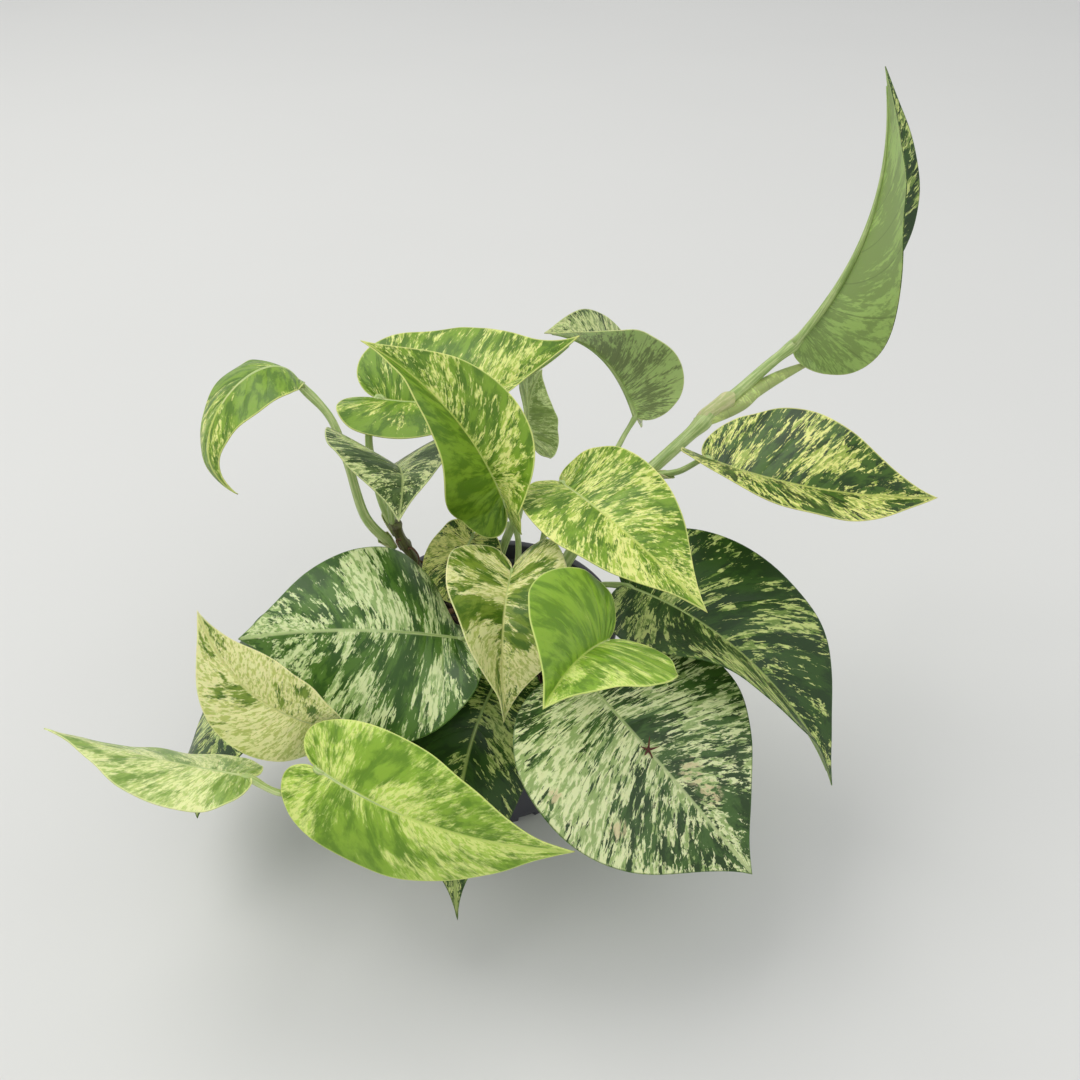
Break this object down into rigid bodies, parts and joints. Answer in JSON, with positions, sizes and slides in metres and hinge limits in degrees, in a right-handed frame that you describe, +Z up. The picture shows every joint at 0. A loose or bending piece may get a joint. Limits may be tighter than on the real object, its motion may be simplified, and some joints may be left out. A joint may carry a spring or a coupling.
{
  "type": "potted pothos plant",
  "caption": "Marble-variegated pothos with heart-shaped leaves on arching petioles, growing from a small tapered plastic nursery pot",
  "frame": {"origin": "middle of the flat underside of the pot", "axes": "+Z up along the pot's axis; +X to the side of the tall right-hand leaf; -Y towards the large leaf that hangs over the front of the rim"},
  "size_m": [0.379, 0.2746, 0.3201],
  "materials": {
    "pot_plastic": "satin",
    "soil": "matte",
    "leaf_marbled": "satin",
    "stem_green": "satin",
    "vine_old": "matte"
  },
  "bodies": {
    "root": {"pot": "pot_plastic", "soil": "soil", "vine_right": "stem_green", "vine_left": "vine_old", "vine_centre": "stem_green", "vine_front": "vine_old", "leaf_unfurling": "leaf_marbled", "aerial_root_left": "vine_old", "leaf_right_tall": "leaf_marbled", "petiole_right_tall": "stem_green", "leaf_right_low": "leaf_marbled", "petiole_right_low": "stem_green", "leaf_back_right": "leaf_marbled", "petiole_back_right": "stem_green", "leaf_back_centre": "leaf_marbled", "petiole_back_centre": "stem_green", "leaf_centre_upright": "leaf_marbled", "petiole_centre_upright": "stem_green", "leaf_front_cream": "leaf_marbled", "petiole_front_cream": "stem_green", "leaf_right_lime": "leaf_marbled", "petiole_right_lime": "stem_green", "leaf_front_curled": "leaf_marbled", "petiole_front_curled": "stem_green", "leaf_right_dark": "leaf_marbled", "petiole_right_dark": "stem_green", "leaf_front_large": "leaf_marbled", "petiole_front_large": "stem_green", "leaf_left_large": "leaf_marbled", "petiole_left_large": "stem_green", "leaf_left_cream": "leaf_marbled", "petiole_left_cream": "stem_green", "leaf_far_left": "leaf_marbled", "petiole_far_left": "stem_green", "leaf_front_lime": "leaf_marbled", "petiole_front_lime": "stem_green", "leaf_left_hanging": "leaf_marbled", "petiole_left_hanging": "stem_green", "leaf_front_hanging": "leaf_marbled", "petiole_front_hanging": "stem_green", "leaf_small_left": "leaf_marbled", "petiole_small_left": "stem_green", "leaf_arching_left": "leaf_marbled", "petiole_arching_left": "stem_green", "leaf_saddle": "leaf_marbled", "petiole_saddle": "stem_green", "leaf_young": "leaf_marbled", "petiole_young": "stem_green"}
  },
  "joints": []
}
